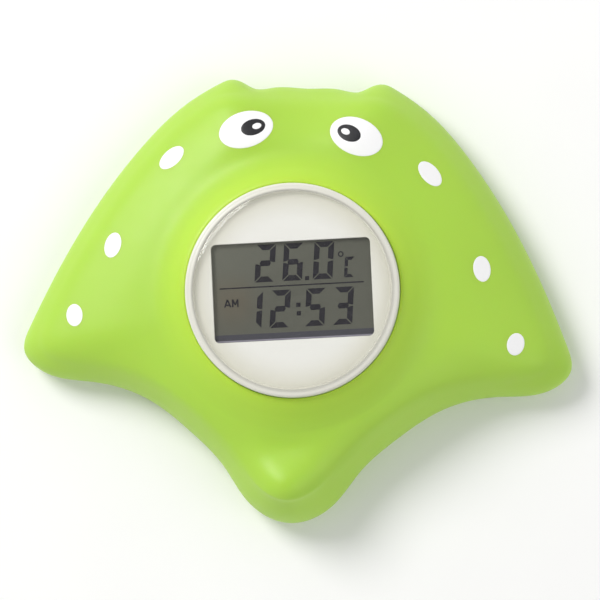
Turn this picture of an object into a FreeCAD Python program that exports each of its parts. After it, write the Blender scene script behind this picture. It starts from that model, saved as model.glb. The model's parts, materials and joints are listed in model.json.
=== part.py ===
import FreeCAD, Part
import math
import os

# Floating bath thermometer: a hollow soft float shaped like a ray, with a round thermometer module in its back.
# Millimetres. +Z is up out of the display, +Y points to the ray's head, X runs from wing tip to wing tip.
# The origin is under the middle of the float's outline, on the surface that the float rests on.

# ---- float ----
float_width = 130.0          # wing tip to wing tip
head_length = 51.2           # module axis to the front of the two head horns
tail_length = 53.6           # module axis to the end of the tail
skin_wall = 2.5              # moulded vinyl, sides and top
base_wall = 2.5              # flat underside, and the ledge that the module stands on
edge_inset = 4.5             # width of the rounded edge, seen from above
edge_height = 11.5           # top of a long wing at its edge, before rounding
root_height = 5.0            # how much higher the edge is where the wing is short
root_length = 14.0           # wing length over which that extra height fades
belly_height = 5.0           # level at which the outline is widest
collar_width = 7.5           # slope round the module
collar_drop = 5.1            # how far the collar stands above the wings
pocket_gap = 0.3             # module to float, all round
lens_proud = 2.9             # how far the lens stands out of the collar

# right half of the outline: share of the half width, and of the head or tail length
outline_shares = [
    (0.0, 0.97), (0.12, 0.97), (0.19, 0.96), (0.24, 0.99), (0.28, 1.0), (0.32, 0.98), (0.45, 0.87),
    (0.6, 0.67), (0.76, 0.38), (0.9, 0.05), (0.98, -0.17), (1.0, -0.28), (0.93, -0.37), (0.74, -0.41),
    (0.55, -0.47), (0.37, -0.62), (0.25, -0.76), (0.15, -0.92), (0.0, -1.0),
]

# swellings of the float's top: share of the half width, share of the head or tail length, spread, height
swellings = [
    (0.0, -0.85, 5.4, 5.6),      # tail knob
    (0.0, -0.68, 4.6, -2.0),     # crease in front of the tail knob
    (0.27, 0.93, 4.0, 2.4),      # right horn
    (-0.27, 0.93, 4.0, 2.4),     # left horn
    (0.21, 0.75, 6.5, 1.8),      # right brow
    (-0.21, 0.75, 6.5, 1.8),     # left brow
    (0.0, 0.88, 5.5, -1.6),      # dip between the brows
]
spoke_count = 112            # sections round the float
patch_count = 16             # faces round the float
wrap = 8                     # sections repeated past the closing line
top_ring_count = 12          # rings from the collar's foot to the rounded edge

# ---- thermometer module ----
module_radius = 25.0
module_turn = 5.0            # how far the display stands turned in the float, degrees
ground_gap = 0.8             # module's underside above the ground
boss_radius = 20.5           # part of the back that reaches down through the float's ledge
shell_wall = 1.8
skirt_wall = 1.6             # side wall of the lens
lens_wall = 1.8
lens_step = 0.6              # raised flat in the middle of the lens
lens_rim = 1.7               # width of the lower rim round that flat
joint_gap = 0.1              # lens skirt over the shell's spigot
spigot_wall = 2.7

# display
window_width = 37.2
window_depth = 23.0
window_corner = 1.2
window_overlap = 0.7         # glass beyond the window, each side
contact_ledge = 2.8          # strip of the front glass that the connector touches
film_thickness = 0.2
glass_thickness = 0.7
pocket_play = 0.2            # face plate's pocket round the glass
plate_thickness = 1.2
rim_grip = 0.93              # how far the plate's lower rim reaches inside the glass's corners
zebra_depth = 2.2
zebra_end_gap = 3.2          # connector's ends to the sides of the glass
foam_length = 30.0
foam_depth = 4.0

# circuit board and what is on it
board_thickness = 1.2
board_gap = 0.4
display_room = 3.7           # board to the back of the display
board_room = 6.6             # roof of the battery bay to the board
post_radius = 1.9
post_x = 9.0
post_y = 15.2
pilot_radius = 0.95
screw_radius = 0.9
screw_length = 4.0
screw_head_radius = 1.8
screw_head_height = 1.0
blob_radius = 4.5
blob_height = 1.8
crystal_radius = 1.0
crystal_length = 6.0
chip_length = 2.0
chip_width = 1.25
chip_height = 0.8

# battery bay and its quarter-turn door
cell_radius = 10.0
cell_height = 3.2
cell_gap = 0.4
contact_room = 1.0
contact_thickness = 0.25
contact_width = 3.0
bay_y = -6.0
bay_wall = 1.4
door_radius = 11.0
door_gap = 0.1
lug_reach = 1.2
lug_height = 1.2
lug_gap = 0.15
lug_angle = 24.0
lug_count = 3
door_turn = 40.0             # turn from locked to free
stop_angle = 6.0
seal_land = 2.3              # height of the door's plug above its lugs
coin_slot_length = 14.0
coin_slot_width = 1.8
coin_slot_depth = 1.2
door_seal_radius = 0.45
case_seal_radius = 0.6
seal_gap = 0.05

# buttons
button_x = 8.5
button_y = 10.5
button_radius = 2.35
button_flange = 0.75
button_flange_height = 0.7
button_stem_radius = 1.2
button_head_radius = 1.8
button_travel = 0.8
button_gap = 0.1
pill_height = 0.5
guide_wall = 1.3
guide_height = 5.0
diaphragm_height = 1.6

# water sensor
sensor_y = 14.5
sensor_radius = 2.5
sensor_wall = 0.4
sensor_height = 6.0
sensor_flange = 0.9
sensor_flange_height = 0.5
gasket_height = 0.4
bead_radius = 0.9
lead_radius = 0.25
lead_x = 0.5

# ---- levels and radii that follow from the sizes above ----
floor_top = ground_gap + shell_wall
race_top = floor_top + lug_height + 2 * lug_gap
plug_top = race_top + seal_land
cell_low = plug_top + 0.2
cell_top = cell_low + cell_height
roof_low = cell_top + contact_room
roof_top = roof_low + bay_wall
board_low = roof_top + board_room
board_top = board_low + board_thickness
reflector_low = board_top + display_room
rear_glass_low = reflector_low + film_thickness
front_glass_low = rear_glass_low + glass_thickness
polariser_low = front_glass_low + glass_thickness
plate_low = polariser_low + film_thickness
plate_top = plate_low + plate_thickness
lens_top = plate_top + lens_wall
split_level = board_low - 4.0
spigot_top = board_top + 1.0
case_seal_level = split_level + 1.6

pocket_radius = module_radius + pocket_gap
ledge_radius = boss_radius + pocket_gap
collar_top = lens_top - lens_proud
collar_foot = collar_top - collar_drop
foot_radius = pocket_radius + collar_width
module_y = (tail_length - head_length) / 2

skirt_inner = module_radius - skirt_wall
spigot_radius = skirt_inner - joint_gap
spigot_inner = spigot_radius - spigot_wall
shell_inner = module_radius - shell_wall
boss_inner = boss_radius - shell_wall
plate_radius = skirt_inner - pocket_play
board_radius = spigot_inner - board_gap
glass_width = window_width + 2 * window_overlap
glass_depth = window_depth + 2 * window_overlap
bay_radius = cell_radius + cell_gap
hole_radius = door_radius + door_gap
race_radius = door_radius + lug_reach + 2 * door_gap
plug_radius = bay_radius - 0.15
guide_radius = button_radius + button_flange + button_gap

UP = FreeCAD.Vector(0, 0, 1)
through = 1.0                # how far a cutter runs past the face that it cuts


def point(x, y, z):
    return FreeCAD.Vector(x, y, z)


# ---- simple solids ----

def rod(radius, low, high, x=0.0, y=0.0):
    return Part.makeCylinder(radius, high - low, point(x, y, low))


def tube(outer, inner, low, high, x=0.0, y=0.0):
    return rod(outer, low, high, x, y).cut(rod(inner, low - through, high + through, x, y))


def block(width, depth, low, high, x=0.0, y=0.0):
    return Part.makeBox(width, depth, high - low, point(x - width / 2, y - depth / 2, low))


def sector(radius, low, high, middle, spread, x, y):
    wedge = Part.makeCylinder(radius, high - low, point(x, y, low), UP, spread)
    wedge.rotate(point(x, y, 0), UP, middle - spread / 2)
    return wedge


def turned(profile, x=0.0, y=0.0):
    corners = [point(radius, 0, level) for radius, level in profile]
    face = Part.Face(Part.makePolygon(corners + corners[:1]))
    solid = face.revolve(point(0, 0, 0), UP, 360)
    solid.translate(point(x, y, 0))
    return solid


def o_ring(middle_radius, section_radius, level, x=0.0, y=0.0):
    return Part.makeTorus(middle_radius, section_radius, point(x, y, level))


def round_rim(shape, radius, rim_radius, level):
    """Fillets the circular edge with the given radius at the given level."""
    rims = []
    for edge in shape.Edges:
        curve = edge.Curve
        if isinstance(curve, Part.Circle) and abs(curve.Radius - rim_radius) < 1e-4:
            if abs(edge.Vertexes[0].Z - level) < 1e-4:
                rims.append(edge)
    return shape.makeFillet(radius, rims)


# ---- float ----

def outline_points():
    """Points round the whole outline, measured from the module's axis, from the tail towards +X."""
    right = []
    for across, along in outline_shares:
        length = head_length if along > 0 else tail_length
        right.append((across * float_width / 2, along * length))
    left = [(-x, y) for x, y in right[1:-1]]
    return right[::-1] + left


def wrapped(items):
    """A closed row of items with its ends repeated, so that a curve through it is smooth where it closes."""
    return items[-wrap:] + items + items[:wrap + 1]


def spokes():
    """Evenly spaced places on the outline, each with its inward normal."""
    corners = [point(x, y, 0) for x, y in outline_points()]
    curve = Part.BSplineCurve()
    curve.interpolate(Points=wrapped(corners))
    knots = curve.getKnots()
    once_round = curve.toShape(knots[wrap], knots[wrap + len(corners)])
    places = []
    for place in once_round.discretize(spoke_count + 1)[:-1]:
        along = curve.tangent(curve.parameter(place))[0]
        places.append((place, point(-along.y, along.x, 0)))
    return places


def swelling(x, y):
    """Height that the local swellings add to the float's top at one place."""
    total = 0.0
    for across, along, spread, height in swellings:
        length = head_length if along > 0 else tail_length
        far = math.hypot(x - across * float_width / 2, y - along * length)
        total += height * math.exp(-(far / spread) ** 2 / 2)
    return total


def collar(radius):
    """Level of the collar's slope at one distance from the module's axis."""
    share = min((foot_radius - radius) / collar_width, 1.0)
    return collar_foot + collar_drop * share * share * (3 - 2 * share)


def wing_level(share, length):
    """Level of the top between the collar's foot, share 0, and the outline, share 1, before rounding."""
    edge = edge_height + root_height * math.exp(-length / root_length)
    return collar_foot + (edge - collar_foot) * share ** 1.5


def section(rim, inward, wall):
    """One section of the float's surface, from its base up and over to the pocket, moved in by the wall."""
    base = base_wall if wall else 0.0
    edge_start = rim + inward * edge_inset
    foot = edge_start * (foot_radius / math.hypot(edge_start.x, edge_start.y))
    length = (edge_start - foot).Length + edge_inset
    start_share = 1 - edge_inset / length
    points = []
    for angle in (-90, -60, -30, 0, 15, 30, 45, 60, 75):
        bow = math.cos(math.radians(angle))
        climb = math.sin(math.radians(angle))
        place = rim + inward * (edge_inset - (edge_inset - wall) * bow)
        top = wing_level(start_share + bow * edge_inset / length, length) + swelling(place.x, place.y) - wall
        rise = top - belly_height if angle > 0 else belly_height - base
        points.append(point(place.x, place.y, belly_height + rise * climb))
    for ring in range(top_ring_count, -1, -1):
        share = ring / top_ring_count
        place = foot + (edge_start - foot) * share
        level = wing_level(share * start_share, length) - wall
        points.append(point(place.x, place.y, level + swelling(place.x, place.y) * min(4 * share, 1.0)))
    heading = foot * (1 / foot_radius)
    for share in (0.75, 0.5, 0.25, 0.0, -0.15):
        radius = pocket_radius + collar_width * share
        points.append(point(heading.x * radius, heading.y * radius, collar(radius) - wall))
    return points


def net_surface(sections):
    """A smooth surface through every point of the sections, wrapped past its closing line."""
    sections = wrapped(sections)
    rings = [[points[row] for points in sections] for row in range(len(sections[0]))]
    steps = [0.0]
    for row in range(1, len(rings)):
        gaps = [(a - b).Length for a, b in zip(rings[row], rings[row - 1])]
        steps.append(steps[-1] + sum(gaps) / len(gaps))
    turns = [float(index) for index in range(len(sections))]
    round_curves = []
    for ring in rings:
        curve = Part.BSplineCurve()
        curve.interpolate(Points=ring, Parameters=turns)
        round_curves.append(curve)
    poles = []
    for index in range(round_curves[0].NbPoles):
        column = Part.BSplineCurve()
        column.interpolate(Points=[curve.getPole(index + 1) for curve in round_curves], Parameters=steps)
        poles.append(column.getPoles())
    surface = Part.BSplineSurface()
    surface.buildFromPolesMultsKnots(
        poles, round_curves[0].getMultiplicities(), column.getMultiplicities(),
        round_curves[0].getKnots(), column.getKnots(), False, False, curve.Degree, column.Degree)
    return surface


def closed_body(wall):
    """The solid inside the float's surface moved in by the wall, with a flat base and a flat top."""
    surface = net_surface([section(rim, inward, wall) for rim, inward in spokes()])
    base_end, pocket_end = surface.bounds()[2:]
    spokes_each = spoke_count // patch_count
    faces = []
    rims = {base_end: [], pocket_end: []}
    for start in range(wrap, wrap + spoke_count, spokes_each):
        patch = surface.copy()
        patch.segment(start, start + spokes_each, base_end, pocket_end)
        faces.append(patch.toShape())
        for end, edges in rims.items():
            edges.append(patch.vIso(end).toShape())
    for edges in rims.values():
        faces.append(Part.makeFace(Part.Wire(edges), "Part::FaceMakerSimple"))
    shell = Part.makeShell(faces)
    shell.sewShape()
    body = Part.makeSolid(shell)
    if body.Volume < 0:
        body.reverse()
    return body


def build_float():
    skin = closed_body(0.0).cut(closed_body(skin_wall))
    skin = skin.cut(rod(pocket_radius, base_wall, lens_top))
    return skin.cut(rod(ledge_radius, -through, base_wall + through))


# ---- module case ----

def build_front_lens():
    rim_level = lens_top - lens_step
    flat_radius = module_radius - lens_rim
    cup = turned([
        (0, plate_top), (skirt_inner, plate_top), (skirt_inner, split_level), (module_radius, split_level),
        (module_radius, rim_level), (flat_radius + 0.3, rim_level), (flat_radius, lens_top), (0, lens_top),
    ])
    return round_rim(cup, 0.8, module_radius, rim_level)


def battery_bay_cutters():
    """Spaces cut into the back shell for the cell, the door, its lugs and the contacts."""
    cutters = [
        rod(hole_radius, ground_gap - through, floor_top + through, 0, bay_y),
        rod(race_radius, floor_top, race_top, 0, bay_y),
        rod(bay_radius, race_top - through, roof_low, 0, bay_y),
    ]
    for index in range(lug_count):
        middle = index * 360 / lug_count - door_turn
        cutters.append(sector(race_radius, ground_gap - through, floor_top + through, middle,
                              lug_angle + 2, 0, bay_y))
    leg_x, strip_x = contact_places()
    slot = contact_width + 2 * pocket_play
    cutters.append(block(4 * contact_thickness, slot, roof_low - through, roof_top + through, leg_x, bay_y))
    cutters.append(block(4 * contact_thickness, slot, race_top + through, roof_top + through, strip_x, bay_y))
    return cutters


def door_stops():
    """Ribs in the race that the lugs meet when the door is locked."""
    stops = []
    for index in range(lug_count):
        middle = index * 360 / lug_count + (lug_angle + stop_angle) / 2 + 1
        rib = sector(race_radius + 0.2, floor_top, race_top, middle, stop_angle, 0, bay_y)
        stops.append(rib.cut(rod(plug_radius + door_gap, floor_top - through, race_top + through, 0, bay_y)))
    return stops


def build_back_shell():
    groove_radius = skirt_inner - 2 * case_seal_radius - 2 * seal_gap
    groove_half = case_seal_radius + 2 * seal_gap
    shell = turned([
        (0, ground_gap), (boss_radius, ground_gap), (boss_radius, base_wall), (module_radius, base_wall),
        (module_radius, split_level), (spigot_radius, split_level),
        (spigot_radius, case_seal_level - groove_half), (groove_radius, case_seal_level - groove_half),
        (groove_radius, case_seal_level + groove_half), (spigot_radius, case_seal_level + groove_half),
        (spigot_radius, spigot_top), (spigot_inner, spigot_top), (spigot_inner, split_level - shell_wall),
        (shell_inner, split_level - shell_wall - (shell_inner - spigot_inner)),
        (shell_inner, base_wall + shell_wall), (boss_inner, base_wall + shell_wall), (boss_inner, floor_top),
        (0, floor_top),
    ])
    additions = [
        rod(race_radius + bay_wall, floor_top, race_top + bay_wall, 0, bay_y),
        rod(bay_radius + bay_wall, floor_top, roof_top, 0, bay_y),
    ]
    for side in (-1, 1):
        additions.append(rod(guide_radius + guide_wall, floor_top, floor_top + guide_height,
                             side * button_x, button_y))
    shell = shell.fuse(additions)
    cutters = battery_bay_cutters()
    cutters.append(rod(sensor_radius + seal_gap, ground_gap - through, floor_top + through, 0, sensor_y))
    for side in (-1, 1):
        x = side * button_x
        cutters.append(rod(button_radius + button_gap, ground_gap - through, floor_top + through, x, button_y))
        cutters.append(rod(guide_radius, floor_top, floor_top + guide_height + through, x, button_y))
    return shell.cut(cutters).fuse(door_stops()).removeSplitter()


def build_case_seal():
    middle = skirt_inner - case_seal_radius - seal_gap
    return o_ring(middle, case_seal_radius, case_seal_level)


# ---- display ----

def build_face_plate():
    window = block(window_width, window_depth, plate_low - through, plate_top + through)
    upright = [edge for edge in window.Edges if abs(edge.tangentAt(edge.FirstParameter).z) > 0.99]
    window = window.makeFillet(window_corner, upright)
    plate = rod(plate_radius, plate_low, plate_top).cut(window)
    rim_inner = math.hypot(glass_width / 2, glass_depth / 2) - rim_grip
    rim = tube(plate_radius, rim_inner, spigot_top, plate_low)
    rim = rim.cut(block(glass_width + 2 * pocket_play, glass_depth + 2 * pocket_play,
                        spigot_top - through, plate_low + through / 2))
    plate = plate.fuse([rim] + [rod(post_radius, board_top, plate_low, x, y) for x, y in post_places()])
    pilots = [rod(pilot_radius, board_top - through, board_top + screw_length + pilot_radius, x, y)
              for x, y in post_places()]
    return plate.cut(pilots).removeSplitter()


def post_places():
    return [(x, y) for x in (-post_x, post_x) for y in (-post_y, post_y)]


def rear_layer(low, thickness):
    """A display layer that leaves the contact ledge of the front glass free."""
    return block(glass_width, glass_depth - contact_ledge, low, low + thickness, 0, contact_ledge / 2)


def build_zebra_strip():
    y = -glass_depth / 2 + contact_ledge / 2
    return block(glass_width - 2 * zebra_end_gap, zebra_depth, board_top, front_glass_low, 0, y)


def build_backing_foam():
    return block(foam_length, foam_depth, board_top, reflector_low, 0, glass_depth / 2 - foam_depth - 1)


# ---- circuit board ----

def build_circuit_board():
    board = rod(board_radius, board_low, board_top)
    return board.cut([rod(pilot_radius + 0.2, board_low - through, board_top + through, x, y)
                      for x, y in post_places()])


def build_chip_blob():
    sphere_radius = (blob_radius ** 2 + blob_height ** 2) / (2 * blob_height)
    ball = Part.makeSphere(sphere_radius, point(0, 3, board_low - blob_height + sphere_radius))
    return ball.common(rod(blob_radius, board_low - blob_height - through, board_low, 0, 3))


def build_clock_crystal():
    start = point(-13, 4 - crystal_length / 2, board_low - crystal_radius)
    can = Part.makeCylinder(crystal_radius, crystal_length, start, point(0, 1, 0))
    return can.makeFillet(0.25, [edge for edge in can.Edges if isinstance(edge.Curve, Part.Circle)])


def build_board_components():
    places = [(-14, -3), (-14, -6), (13, -2), (13, 1), (13, 4), (6.5, 5), (-6.5, 5), (0, -3.5)]
    low = board_low - chip_height
    return Part.makeCompound([block(chip_length, chip_width, low, board_low, x, y) for x, y in places])


def build_board_screws():
    screws = []
    head_low = board_low - screw_head_height
    for x, y in post_places():
        screw = rod(screw_head_radius, head_low, board_low, x, y)
        screw = screw.fuse(rod(screw_radius, board_low, board_top + screw_length, x, y))
        for width, depth in ((2.0, 0.4), (0.4, 2.0)):
            screw = screw.cut(block(width, depth, head_low - through, head_low + 0.6, x, y))
        screws.append(round_rim(screw, 0.3, screw_head_radius, head_low))
    return Part.makeCompound(screws)


# ---- battery and door ----

def contact_places():
    """X of the negative contact's leg and of the positive contact's strip."""
    return 6.5, -(bay_radius + contact_thickness / 2)


def build_coin_cell():
    can = rod(cell_radius, cell_low, cell_top - 0.6, 0, bay_y)
    can = round_rim(can, 0.4, cell_radius, cell_low)
    return can.fuse(rod(cell_radius - 1.2, cell_top - 0.6, cell_top, 0, bay_y))


def build_minus_contact():
    leg_x = contact_places()[0]
    leaf_low = roof_low - 2 * contact_thickness
    leaf_top = leaf_low + contact_thickness
    leaf = block(2 * leg_x + contact_thickness, contact_width, leaf_low, leaf_top, 0, bay_y)
    dimple = rod(contact_width / 2, cell_top, leaf_low, 0, bay_y)
    leg = block(contact_thickness, contact_width, leaf_low, board_low, leg_x, bay_y)
    return leaf.fuse([dimple, leg]).removeSplitter()


def build_plus_contact():
    strip_x = contact_places()[1]
    middle = (cell_low + cell_top) / 2
    strip = block(contact_thickness, contact_width, middle - 1, board_low, strip_x, bay_y)
    start = point(strip_x, bay_y, middle)
    dimple = Part.makeCylinder(0.8, -cell_radius - strip_x, start, point(1, 0, 0))
    return strip.fuse(dimple).removeSplitter()


def build_battery_door():
    seal_level = race_top + seal_land / 2
    groove = plug_radius + 0.1 - 2 * door_seal_radius
    door = rod(door_radius, ground_gap, floor_top, 0, bay_y)
    door = round_rim(door, 0.3, door_radius, ground_gap)
    door = door.fuse(rod(plug_radius, floor_top, plug_top, 0, bay_y))
    for index in range(lug_count):
        door = door.fuse(sector(door_radius + lug_reach, floor_top + lug_gap, floor_top + lug_gap + lug_height,
                                index * 360 / lug_count, lug_angle, 0, bay_y))
    seal_half = door_seal_radius + seal_gap
    door = door.cut(tube(plug_radius + through, groove - seal_gap, seal_level - seal_half,
                         seal_level + seal_half, 0, bay_y))
    slot = block(coin_slot_length, coin_slot_width, ground_gap - through, ground_gap + coin_slot_depth, 0, bay_y)
    return door.cut(slot).removeSplitter()


def build_door_seal():
    middle = plug_radius + 0.1 - door_seal_radius
    return o_ring(middle, door_seal_radius, race_top + seal_land / 2, 0, bay_y)


# ---- buttons ----

def build_button(x):
    head_top = board_low - button_travel - button_gap - pill_height
    flange_top = floor_top + button_flange_height
    tip = rod(button_radius, ground_gap - 0.3, floor_top, x, button_y)
    tip = round_rim(tip, 0.4, button_radius, ground_gap - 0.3)
    flange = rod(button_radius + button_flange, floor_top, flange_top, x, button_y)
    stem = rod(button_stem_radius, flange_top, head_top, x, button_y)
    head = rod(button_head_radius, head_top - pill_height, head_top, x, button_y)
    return tip.fuse([flange, stem, head]).removeSplitter()


def build_pill(x):
    top = board_low - button_travel - button_gap
    return rod(button_head_radius, top - pill_height, top, x, button_y)


def build_button_seals():
    top = floor_top + guide_height
    return Part.makeCompound([
        tube(guide_radius, button_stem_radius + button_gap, top - diaphragm_height, top, x, button_y)
        for x in (-button_x, button_x)])


# ---- water sensor ----

def build_sensor_cap():
    low = ground_gap - 0.3
    top = low + sensor_height
    flange_low = floor_top + gasket_height
    cap = turned([
        (0, low), (sensor_radius, low), (sensor_radius, flange_low), (sensor_radius + sensor_flange, flange_low),
        (sensor_radius + sensor_flange, flange_low + sensor_flange_height),
        (sensor_radius, flange_low + sensor_flange_height), (sensor_radius, top), (sensor_radius - sensor_wall, top),
        (sensor_radius - sensor_wall, low + sensor_wall), (0, low + sensor_wall),
    ], 0, sensor_y)
    return round_rim(cap, 0.3, sensor_radius, low)


def build_sensor_gasket():
    return tube(sensor_radius + sensor_flange, sensor_radius + seal_gap, floor_top, floor_top + gasket_height,
                0, sensor_y)


def bead_level():
    return ground_gap + sensor_wall + bead_radius


def build_thermistor_leads():
    low = bead_level() + bead_radius / 2
    return Part.makeCompound([rod(lead_radius, low, board_low, x, sensor_y) for x in (-lead_x, lead_x)])


# ---- the assembly ----

def in_module(shape):
    """Turns a piece of the module as the display stands in the float, and puts it on the module's axis."""
    shape.rotate(point(0, 0, 0), UP, module_turn)
    shape.translate(point(0, module_y, 0))
    return shape


float_skin = build_float()
float_skin.translate(point(0, module_y, 0))

pieces = {
    "front_lens": build_front_lens(),
    "face_plate": build_face_plate(),
    "lcd_front_polariser": block(glass_width, glass_depth, polariser_low, plate_low),
    "lcd_front_glass": block(glass_width, glass_depth, front_glass_low, polariser_low),
    "lcd_rear_glass": rear_layer(rear_glass_low, glass_thickness),
    "lcd_reflector": rear_layer(reflector_low, film_thickness),
    "zebra_strip": build_zebra_strip(),
    "lcd_backing_foam": build_backing_foam(),
    "circuit_board": build_circuit_board(),
    "chip_blob": build_chip_blob(),
    "clock_crystal": build_clock_crystal(),
    "board_components": build_board_components(),
    "board_screws": build_board_screws(),
    "back_shell": build_back_shell(),
    "case_seal": build_case_seal(),
    "coin_cell": build_coin_cell(),
    "battery_contact_minus": build_minus_contact(),
    "battery_contact_plus": build_plus_contact(),
    "battery_door": build_battery_door(),
    "door_seal": build_door_seal(),
    "set_button": build_button(-button_x),
    "set_button_pill": build_pill(-button_x),
    "adjust_button": build_button(button_x),
    "adjust_button_pill": build_pill(button_x),
    "button_seals": build_button_seals(),
    "sensor_cap": build_sensor_cap(),
    "sensor_gasket": build_sensor_gasket(),
    "thermistor_bead": Part.makeSphere(bead_radius, point(0, sensor_y, bead_level())),
    "thermistor_leads": build_thermistor_leads(),
}

os.makedirs("parts", exist_ok=True)
float_skin.exportStep("parts/float_skin.step")
for name, shape in pieces.items():
    in_module(shape).exportStep("parts/" + name + ".step")
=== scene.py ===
import json
import math

import bmesh
import bpy
import numpy as np
from bpy.props import FloatProperty, FloatVectorProperty, IntProperty, PointerProperty, StringProperty
from mathutils import Matrix, Vector


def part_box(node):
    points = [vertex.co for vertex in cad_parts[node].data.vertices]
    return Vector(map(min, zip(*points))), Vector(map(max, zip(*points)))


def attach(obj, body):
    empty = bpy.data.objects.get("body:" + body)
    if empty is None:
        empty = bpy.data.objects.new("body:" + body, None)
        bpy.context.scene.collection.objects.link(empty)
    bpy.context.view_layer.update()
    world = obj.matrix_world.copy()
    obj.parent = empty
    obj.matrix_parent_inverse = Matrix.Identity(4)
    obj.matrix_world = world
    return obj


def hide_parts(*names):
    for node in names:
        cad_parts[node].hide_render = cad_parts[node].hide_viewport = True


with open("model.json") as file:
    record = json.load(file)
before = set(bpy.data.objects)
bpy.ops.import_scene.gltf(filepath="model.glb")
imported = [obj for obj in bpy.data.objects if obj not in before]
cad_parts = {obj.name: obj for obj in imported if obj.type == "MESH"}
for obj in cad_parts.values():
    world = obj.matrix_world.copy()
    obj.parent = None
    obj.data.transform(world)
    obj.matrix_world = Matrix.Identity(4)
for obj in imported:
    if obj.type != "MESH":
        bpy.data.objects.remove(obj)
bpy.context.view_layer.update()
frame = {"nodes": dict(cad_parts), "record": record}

bl_info = {
    "name": "Ray Bath Thermometer",
    "version": (1, 0, 0),
    "blender": (4, 5, 0),
    "location": "3D View > Sidebar > Bath Thermometer",
    "description": "Builds the looks of a ray-shaped floating bath thermometer around its packed model",
    "category": "Object",
}

# Metres. +Z is up out of the display, +Y points to the ray's head, X runs from wing tip to wing tip.
MM = 0.001
WELD = 0.005 * MM                         # vertices nearer than this are one
INK_DEPTH = 0.02 * MM
WATCHED_JOINT = {joint["name"]: joint for joint in frame["record"]["behaviour"]["joints"]}
MODULE_AXIS = Vector(WATCHED_JOINT["module_turn"]["pos_m"])
DISPLAY_TURN = math.radians(5.0)          # how far the display stands turned in the float
IN_MODULE = Matrix.Translation(MODULE_AXIS) @ Matrix.Rotation(DISPLAY_TURN, 4, "Z")
FILM_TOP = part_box("lcd_front_polariser")[1].z
PLATE_TOP = FILM_TOP + 1.2 * MM
WINDOW_WIDTH = 37.2 * MM
WINDOW_DEPTH = 23.0 * MM

# right half of the float's outline: share of the half width, and of the head or tail length
OUTLINE_SHARES = [
    (0.0, 0.97), (0.12, 0.97), (0.19, 0.96), (0.24, 0.99), (0.28, 1.0), (0.32, 0.98), (0.45, 0.87),
    (0.6, 0.67), (0.76, 0.38), (0.9, 0.05), (0.98, -0.17), (1.0, -0.28), (0.93, -0.37), (0.74, -0.41),
    (0.55, -0.47), (0.37, -0.62), (0.25, -0.76), (0.15, -0.92), (0.0, -1.0),
]

# swellings of the float's top: share of the half width, share of the head or tail length, spread, height
SWELLINGS = [
    (0.0, -0.88, 6.4, 6.0),      # tail knob
    (0.0, -0.68, 4.6, -2.0),     # crease in front of the tail knob
    (0.27, 0.93, 4.0, 2.4),      # right horn
    (-0.27, 0.93, 4.0, 2.4),     # left horn
    (0.21, 0.75, 6.5, 1.8),      # right brow
    (-0.21, 0.75, 6.5, 1.8),     # left brow
    (0.0, 0.88, 5.5, -1.6),      # dip between the brows
]


# ---- node trees ----

def pick(sockets, key):
    """A socket by its place, identifier or name."""
    if isinstance(key, int):
        return sockets[key]
    return next((socket for socket in sockets if socket.identifier == key), None) or sockets[key]


class Wire:
    """One output of a node tree. Arithmetic on it adds the nodes that work it out."""

    def __init__(self, sheet, socket):
        self.sheet = sheet
        self.socket = socket

    def sum(self, operation, *values):
        kind = "ShaderNodeVectorMath" if self.socket.type == "VECTOR" else "ShaderNodeMath"
        return self.sheet.add(kind, {"operation": operation}, values)

    def __add__(self, other):
        return self.sum("ADD", self, other)

    def __radd__(self, other):
        return self.sum("ADD", other, self)

    def __sub__(self, other):
        return self.sum("SUBTRACT", self, other)

    def __rsub__(self, other):
        return self.sum("SUBTRACT", other, self)

    def __mul__(self, other):
        if self.socket.type == "VECTOR":
            return self.sheet.add("ShaderNodeVectorMath", {"operation": "SCALE"}, {0: self, "Scale": other})
        return self.sum("MULTIPLY", self, other)

    __rmul__ = __mul__

    def __truediv__(self, other):
        return self.sum("DIVIDE", self, other)

    def __rtruediv__(self, other):
        return self.sum("DIVIDE", other, self)

    def __pow__(self, other):
        return self.sum("POWER", self, other)

    def __neg__(self):
        return self.sum("MULTIPLY", self, -1.0)

    def sin(self):
        return self.sum("SINE", self)

    def cos(self):
        return self.sum("COSINE", self)

    def exp(self):
        return self.sum("EXPONENT", self)

    def least(self, other):
        return self.sum("MINIMUM", self, other)

    def length(self):
        return self.sheet.add("ShaderNodeVectorMath", {"operation": "LENGTH"}, (self,), "Value")

    def unit(self):
        return self.sum("NORMALIZE", self)

    def parts(self):
        """The three numbers of a vector."""
        return [self.sheet.add("ShaderNodeSeparateXYZ", None, (self,), axis) for axis in "XYZ"]

    def ramp(self, low, high):
        """0 below low and 1 above high, with a smooth step between."""
        return self.sheet.add("ShaderNodeMapRange", {"interpolation_type": "SMOOTHSTEP"},
                              {"Value": self, "From Min": low, "From Max": high})


class Sheet:
    """A node tree under construction."""

    def __init__(self, tree):
        self.tree = tree

    def add(self, kind, settings=None, values=(), output=0):
        """Adds a node, sets it, then its sockets, and returns one of its outputs."""
        node = self.tree.nodes.new(kind)
        for name, setting in (settings or {}).items():
            setattr(node, name, setting)
        for key, value in values.items() if isinstance(values, dict) else enumerate(values):
            socket = pick(node.inputs, key)
            if isinstance(value, Wire):
                self.tree.links.new(value.socket, socket)
            else:
                socket.default_value = value
        if not node.outputs:
            return node
        return Wire(self, pick(node.outputs, output))

    def vector(self, x=0.0, y=0.0, z=0.0):
        return self.add("ShaderNodeCombineXYZ", None, (x, y, z))


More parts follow.
